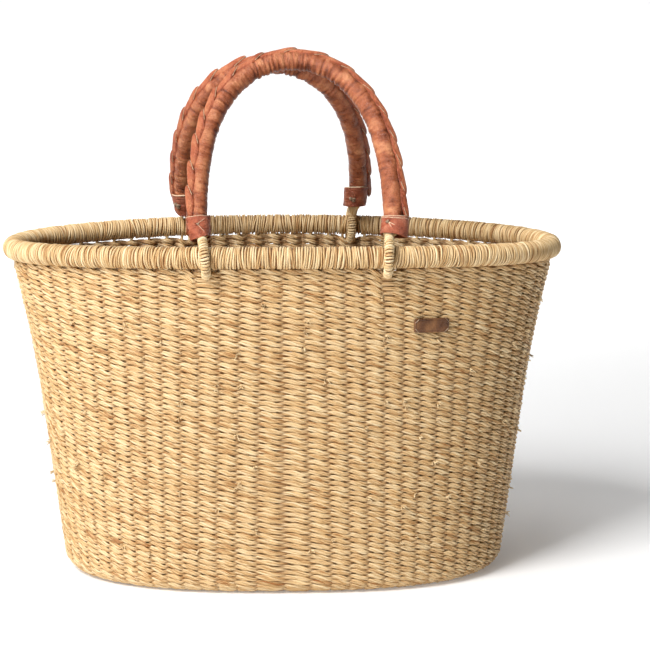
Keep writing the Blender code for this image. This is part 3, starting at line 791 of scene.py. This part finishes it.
def make_lacing(handle):
    """The seam's thong: lens-shaped laps, each crossing over the start of the next one."""
    pitch, length = 0.0222, 0.0285
    start = LACING_START
    end = handle.run[-1] - start
    count = round((end - start - length) / pitch) + 1
    steps, top, bottom, edge_steps = 26, 13, 5, 16
    xi = np.linspace(0, 1, steps)
    late = np.linspace(0.66, 1, edge_steps)
    rng = np.random.default_rng(handle.seed + 9)
    laps, threads, thread_normals = [], [], []
    for lap in range(count):
        begin = start + (end - start - length) * lap / (count - 1)
        stretch = length * rng.uniform(0.97, 1.04)
        ends, outward, _ = handle.at(np.array([begin, begin + stretch]))
        turn = handle.seam_turn(begin + stretch * np.array([0, 1.0]))[:, None]
        out = unit(outward * np.cos(turn) + np.array([0, -1.0, 0]) * np.sin(turn))
        seat = ends + out * (COVER_RADIUS + 0.0002)
        size = rng.uniform(0.0034, 0.0040)
        skew = 0.0013 * rng.uniform(0.8, 1.2)
        across = unit(np.cross(unit(seat[1] - seat[0]), out[0] + out[1]))

        def place(x, y_share, h_share, seat=seat, out=out, across=across, size=size, skew=skew):
            """Points of this lap: x along it, y across its belly, h up its thickness."""
            belly = np.sin(PI * x) ** 0.62
            y = y_share * (0.00025 + size * belly) + skew * (1 - 2 * x)
            lift = -0.0007 + 0.0021 * smooth_step(x, 0.45, 1.0)
            height = 0.0006 + 0.0029 * np.sin(PI * x) ** 0.6
            h = h_share * height + lift - 0.45 * y ** 2 / COVER_RADIUS
            x = x[..., None]
            base = seat[0] + (seat[1] - seat[0]) * x
            normal = unit(out[0] + (out[1] - out[0]) * x)
            return base + across * y[..., None] + normal * h[..., None], normal

        upper = np.linspace(-1, 1, top)
        row_y = np.concatenate([upper, np.linspace(0.8, -0.8, bottom)])
        row_h = np.concatenate([1.15 - np.abs(upper) ** 1.8, np.full(bottom, -0.55)])
        grid = np.broadcast_to(xi[:, None], (steps, top + bottom))
        laps.append(place(grid, row_y[None], row_h[None])[0])
        line, normal = place(late, 1.0 - 0.04 * late, np.full(edge_steps, 0.30))
        threads.append(line + normal * 0.00012)
        thread_normals.append(normal)
    along = np.repeat((xi * length)[None], count, 0)
    # wear and painted shade: the laps' tops are lighter, and their undersides are darkened as
    # painted shade along the lap edges
    add_tubes(f"{handle.name}_lacing_laps", np.array(laps), along,
              {"wear_and_shade": np.where(row_h > 0.6, 0.5, -0.8), "edge": 0}, "lacing", handle.body,
              (f"{handle.name}_handle_lacing",), handle.place)
    threads, thread_normals = np.array(threads), np.array(thread_normals)
    thin = np.full(threads.shape[:2], 0.00026)
    rings = sweep(threads, thread_normals, thin, thin * 1.1, 6)
    along = np.repeat((late * length)[None], count, 0)
    add_tubes(f"{handle.name}_lacing_cut_edges", rings, along, {"wear_and_shade": 0, "edge": 1},
              "lacing", handle.body, place=handle.place)


def make_cuff(handle, side, shape):
    """A leather sleeve cut at a slant, creased round its knot, pale where cut."""
    place = "left" if side < 0 else "right"
    sides, steps, inner_steps = 144, 72, 8
    seed = handle.seed + 31 + side
    angle = np.arange(sides) * TAU / sides
    level = np.concatenate([np.linspace(0, 1, steps), np.linspace(1, 0, inner_steps)])[:, None]
    inside = (np.arange(steps + inner_steps) >= steps)[:, None]
    low, top = shape["ends"]
    low_slant, top_slant = shape["slants"]
    low_tilt, top_tilt = shape["tilts"]
    wave = 0.0003 * drift(2.0 * np.sin(angle) + np.cos(angle), seed)
    low = low + CUFF_RADIUS * (low_slant * np.sin(angle) + low_tilt * np.cos(angle)) - wave
    top = top + CUFF_RADIUS * (top_slant * np.sin(angle) + top_tilt * np.cos(angle)) + wave
    height = low + (top - low) * level
    bearing, share, knot_size = shape["knot"]
    knot_angle = math.radians(bearing)
    knot_height = np.interp(knot_angle % TAU, angle, low + (top - low) * share)
    dx = ((angle - knot_angle + PI) % TAU - PI) * CUFF_RADIUS
    dz = height - knot_height
    distance = np.hypot(dx, dz)
    ridge = 0.0 * distance
    for direction in shape["creases"]:
        c, s = math.cos(math.radians(direction)), math.sin(math.radians(direction))
        forward, aside = dx * c + dz * s, dz * c - dx * s
        reach = smooth_step(forward, 0, 0.001) * smooth_step(
            -forward, -shape["crease_length"], -0.5 * shape["crease_length"])
        ridge = ridge + np.exp(-(aside / 0.0005) ** 2) * reach
    folds = np.cos(4 * np.arctan2(dz, dx) + 0.6) * np.exp(-((distance - 0.004) / 0.004) ** 2)
    pucker = np.exp(-(distance / 0.0014) ** 2)
    swell = 0.0003 * drift(3 * angle + height * 300, seed + 1)
    relief = 0.00030 * folds + 0.0005 * ridge - 0.0013 * pucker + swell
    shrink = np.where(inside, 0.88, 1.0)
    eased = level ** 0.8
    half_x = between(shape["widths"], eased) + relief
    half_y = between((CUFF_FOOT_DEPTH, CUFF_RADIUS), eased) + relief
    middle = between(shape["shifts"], eased)
    points = np.stack([middle + shrink * half_x * np.cos(angle), shrink * half_y * np.sin(angle),
                       height], -1)
    line = np.abs(height - top + shape["second_line"] * (1.1 + 0.4 * np.cos(angle))) < 0.00028
    edge = np.where(top - height < 0.0005, 1.0, 0.62 * np.clip(ridge, 0, 1))
    edge = np.where(line & ~inside & (shape["second_line"] > 0), 1.0, edge)
    # painted shade inside the sleeve and in the pucker round the knot; raised folds lighter as wear
    wear_and_shade = np.where(inside, -1.0, np.clip(0.2 + relief / 0.0007 - 1.2 * pucker, -1.3, 1))
    along = np.linspace(0, 0.04, len(points) + 1)
    add_tubes(f"{handle.name}_{place}_cuff_leather", points[None], along[None],
              {"wear_and_shade": wear_and_shade, "edge": edge}, "cuff", handle.body,
              (f"{handle.name}_cuff_{place}",), handle.foot(side), closed=True)
    out = np.array([math.cos(knot_angle), math.sin(knot_angle), 0])
    knot_level = (knot_height - low.mean()) / (top - low).mean()
    spread = np.array([between(shape["widths"], knot_level),
                       between((CUFF_FOOT_DEPTH, CUFF_RADIUS), knot_level), 0])
    root = out * (spread - 0.0002) + [between(shape["shifts"], knot_level), 0, knot_height]
    make_knot(handle, side, place, root, out, knot_size, seed)


def make_knot(handle, foot_side, place, root, out, size, seed):
    """A small overhand knot of thong, with a short end."""
    t = np.linspace(0, TAU, 60)
    count = 90
    side = np.array([-out[1], out[0], 0])
    up = np.array([0, 0, 1.0])
    x = (np.sin(t) + 1.6 * np.sin(2 * t)) * 0.00072 * size
    y = (np.cos(t) - 1.6 * np.cos(2 * t)) * 0.00064 * size
    z = -np.sin(3 * t) * 0.00075 * size
    path = root + x[:, None] * side + y[:, None] * up + z[:, None] * out
    end = root + (side * 0.0018 + up * -0.0014 + out * 0.0004) * size
    tail = np.linspace(path[-1], end, 6)[1:]
    path = smooth_path(np.vstack([path[::3], tail]), count)
    thick = np.full((1, count), 0.00084 * size)
    rings = sweep(path[None], np.repeat(out[None], count, 0)[None], thick, thick * 0.9, 8)
    along = np.linspace(0, 0.02, count)[None]
    wear_and_shade = 0.4 * drift(np.linspace(0, 30, count), seed)[:, None]
    add_tubes(f"{handle.name}_{place}_cuff_knot_thong", rings, along,
              {"wear_and_shade": wear_and_shade, "edge": 0}, "thong", handle.body,
              (f"{handle.name}_cuff_knot_{place}",), handle.foot(foot_side))


def make_loop(handle, side, shape):
    """Wrapped grass rope: two legs down from the cuff and a bend round the rim."""
    place = "left" if side < 0 else "right"
    legs = [(0.0039, LOOP_TOP), (0.0039, 0.0165), (0.0050, 0.0138)]
    bend = [(LOOP_BEND * math.sin(a), LOOP_BEND * math.cos(a))
            for a in np.radians(np.linspace(38, 322, 19))]
    outline = np.array(legs + bend + [(-y, z) for y, z in reversed(legs)])
    down = (LOOP_TOP - outline[:, 1]) / (LOOP_TOP + LOOP_BEND)
    first, last = shape["loop_shifts"]
    count = 240
    path = smooth_path(np.column_stack([between((first, last), down), outline]), count)
    seed = handle.seed + 60 + side
    across = np.array([1.0, 0, 0])
    rings, along = helix_wrap(path, LOOP_RADIUS - 0.0008, 0.00205, 0.00094, 0.00085, seed, across,
                              steps=18, sides=6, unrest=0.16)
    tint = 0.4 + 0.6 * drift(along[0] * 60, seed)[:, None]
    add_tubes(f"{handle.name}_{place}_loop_wrap", rings, along, {"tint": tint, "depth": 0},
              "whip", handle.body, (f"{handle.name}_loop_{place}",),
              handle.foot(side))
    size = np.full((1, count), LOOP_RADIUS - 0.0012)
    core = sweep(path[None], np.repeat(across[None], count, 0)[None], size, size, 10)
    # painted shade: the core under the wrapping is darkened with a low tint and most of DEEP_SHADE
    add_tubes(f"{handle.name}_{place}_loop_core", core, np.linspace(0, 0.1, count)[None],
              {"tint": -0.8, "depth": 0.9}, "stake", handle.body,
              place=handle.foot(side))
    make_neck(handle, side, place, shape, seed)


def make_neck(handle, side, place, shape, seed):
    """The smooth cone of grass that fills the cuff's foot and narrows onto the loop."""
    steps, sides = 26, 40
    angle = np.arange(sides) * TAU / sides
    level = np.linspace(0, 1, steps)[:, None]
    lump = 0.0002 * drift(5 * np.sin(angle) + 4 * np.cos(angle), seed + 5)
    widening = smooth_step(level, 0.0, 0.55)
    half_x = LOOP_RADIUS + 0.0003 + 0.0028 * widening + lump
    half_y = 0.0078 - 0.0006 * widening + lump
    pull = smooth_step(level, 0.0, 0.8)
    middle = between((shape["loop_shifts"][0], shape["shifts"][0]), pull)
    start = LOOP_TOP - 0.0018
    height = start + (cuff_opening(shape) + 0.003 - start) * level + 0 * angle
    points = np.stack([middle + half_x * np.cos(angle), half_y * np.sin(angle), height], -1)
    tint = 0.35 * drift(7 * np.sin(angle) + 5 * np.cos(angle), seed + 6) + 0.3
    add_tubes(f"{handle.name}_{place}_loop_neck", points[None],
              np.linspace(0, 0.014, steps)[None], {"tint": tint, "depth": 0}, "whip",
              handle.body, place=handle.foot(side))


def make_handles():
    for handle in (Handle("front", -1, 200), Handle("rear", 1, 400)):
        make_cover(handle)
        make_lacing(handle)
        for side in (-1, 1):
            make_cuff(handle, side, CUFFS[handle.name, side])
            make_loop(handle, side, CUFFS[handle.name, side])


# ---- the label

LABEL_LIFT = 0.0009           # keeps the label's face clear of the strands
LABEL_THICKNESS = 0.0016
LABEL_BORDER = 0.0013         # width of the pressed border
STITCH_REACH = 0.0013         # half a stitch's width and height


def make_label():
    """A blank patch with rounded corners and a pressed border, bent to the wall."""
    middle = (LABEL_LOW + LABEL_HIGH) / 2
    width, height = 0.0280, 0.0108
    m = middle.z - EDGE_RADIUS + EDGE_START
    fine = np.linspace(1.5 * PI, TAU, 4001)
    line = skin(m, fine)
    run = run_along(line)
    centre_run = run[np.abs(line[:, 0] - middle.x).argmin()]
    columns, rows = 53, 25
    u = np.linspace(-1, 1, columns)
    v = np.linspace(-1, 1, rows)
    uu, vv = np.meshgrid(u, v, indexing="ij")
    corner = np.clip(np.abs(uu) - 0.86, 0, 1) / 0.14
    vv_shaped = vv * (1 - 0.20 * corner ** 2.2)
    angle = np.interp(centre_run + uu * width / 2, run, fine)
    at = m + vv_shaped * height / 2
    normal = skin_normal(at, angle)
    border = np.maximum(np.abs(uu) * width / 2 - width / 2 + LABEL_BORDER,
                        np.abs(vv) * height / 2 - height / 2 + LABEL_BORDER)
    groove = np.exp(-(border / 0.00028) ** 2)
    edge_round = smooth_step(np.maximum(np.abs(uu) * width - width, np.abs(vv) * height - height)
                             / 2 + 0.0006, 0, 0.0006)
    lift = LABEL_LIFT + LABEL_THICKNESS - 0.00022 * groove - 0.0004 * edge_round
    front = skin(at, angle) + normal * lift[..., None]
    back = skin(at, angle) + normal * 0.0002
    vertices = np.concatenate([front.reshape(-1, 3), back.reshape(-1, 3)])
    grid = np.arange(columns * rows).reshape(columns, rows)
    size = columns * rows
    faces = np.stack([grid[:-1, :-1], grid[1:, :-1], grid[1:, 1:], grid[:-1, 1:]], -1)
    faces = faces.reshape(-1, 4)
    ring = np.concatenate([grid[:, 0], grid[-1, 1:], grid[-2::-1, -1], grid[0, -2:0:-1]])
    after = np.roll(ring, -1)
    rim = np.stack([ring + size, after + size, after, ring], -1)
    quads = np.concatenate([faces, faces[:, ::-1] + size, rim])
    uv = np.zeros((quads.size, 2))
    wear_and_shade = np.concatenate([(0.2 - groove).reshape(-1), np.zeros(size)])
    mesh = array_mesh("label_leather", vertices, quads.reshape(-1), np.arange(len(quads)) * 4, uv,
                      {"wear_and_shade": wear_and_shade, "edge": 0 * wear_and_shade})
    add_piece("label_leather", mesh, MATS["label"], "basket", ("label_patch",))
    number = 1
    for cu in (-0.86, 0.86):
        for cv in (-0.70, 0.70):
            make_stitch(number, centre_run + cu * width / 2, m + cv * height / 2,
                        -np.sign(cu * cv), run, fine)
            number += 1


def make_stitch(number, run_at, m, lean, run, fine):
    """Two turns of thread across one corner of the label."""
    lines = []
    for shift in (-0.00035, 0.00035):
        t = np.linspace(-1, 1, 12)
        angle = np.interp(run_at + t * STITCH_REACH + shift, run, fine)
        at = m + lean * t * STITCH_REACH + shift * lean
        normal = skin_normal(at, angle)
        high = LABEL_LIFT + LABEL_THICKNESS + 0.0003 - 0.0012 * np.abs(t) ** 4
        lines.append(skin(at, angle) + normal * high[:, None])
    lines = np.array(lines)
    size = np.full(lines.shape[:2], 0.0003)
    rings = sweep(lines, np.broadcast_to(normal, lines.shape), size, size, 6)
    along = np.repeat(np.linspace(0, 0.003, 12)[None], 2, 0)
    add_tubes(f"label_thread_{number}", rings, along, {"wear_and_shade": 0, "edge": 0}, "thong",
              "basket", (f"label_stitch_{number}",))


# ---- camera, light, floor

def make_stage():
    """A pale seamless floor that curves up far behind the basket."""
    reach, radius, top, half_width = 4.0, 2.0, 6.0, 7.0
    bend = np.linspace(0.1, PI / 2, 14)
    depth = np.concatenate([np.linspace(-reach, reach, 12), reach + radius * np.sin(bend),
                            np.full(4, reach + radius)])
    rise = np.concatenate([np.zeros(12), radius * (1 - np.cos(bend)),
                           np.linspace(radius + 0.5, top, 4)])
    width = np.linspace(-half_width, half_width, 8)
    points = np.stack(np.broadcast_arrays(width[None], depth[:, None], rise[:, None]), -1)
    grid = np.arange(points[..., 0].size).reshape(points.shape[:2])
    loops = np.stack([grid[:-1, :-1], grid[:-1, 1:], grid[1:, 1:], grid[1:, :-1]], -1).reshape(-1)
    mesh = array_mesh("floor", points.reshape(-1, 3), loops, np.arange(0, len(loops), 4),
                      np.zeros((len(loops), 2)))
    n = Nodes("studio floor")
    for socket, value in (("Base Color", (0.90, 0.90, 0.90, 1)), ("Roughness", 0.9),
                          ("Specular IOR Level", 0.1), ("Emission Color", (1, 1, 1, 1)),
                          ("Emission Strength", 0.15)):
        n.shader.inputs[socket].default_value = value
    mesh.materials.append(n.mat)
    new_object("floor", mesh)


def make_camera():
    """A level-ish view of the front from a little above, with a long lens."""
    data = bpy.data.cameras.new("camera")
    data.sensor_width = 36.0
    data.lens = 100.4
    camera = new_object("camera", data)
    camera.location = (0.0051, -1.4576, 0.4415)
    camera.rotation_euler = (math.radians(90 - 9.72), 0, math.radians(-1.14))
    bpy.context.scene.camera = camera


def add_area(name, location, target, size, power):
    data = bpy.data.lights.new(name, "AREA")
    data.shape = "RECTANGLE"
    data.size, data.size_y = size
    data.energy = power
    light = new_object(name, data)
    light.location = location
    direction = Vector(target) - Vector(location)
    light.rotation_euler = direction.to_track_quat("-Z", "Y").to_euler()


def make_lights():
    target = (0, 0, 0.16)
    add_area("front", (-1.52, -1.56, 2.45), target, (1.3, 1.3), 109)
    add_area("low", (-1.75, -2.65, 0.9), target, (1.4, 0.8), 41)
    add_area("overhead", (-0.4, 0.0, 2.4), target, (1.4, 1.2), 13)
    add_area("backdrop", (0, 1.6, 2.6), (0, 6, 0.6), (5.0, 1.0), 150)
    world = bpy.data.worlds.new("studio")
    bpy.context.scene.world = world
    world.use_nodes = True
    background = world.node_tree.nodes["Background"]
    background.inputs["Color"].default_value = (1.0, 1.0, 1.0, 1)
    background.inputs["Strength"].default_value = 0.04
    bpy.context.scene.view_settings.view_transform = "Standard"


make_weave()
make_stakes()
make_tufts()
make_rim()
make_handles()
make_label()
make_stage()
make_camera()
make_lights()
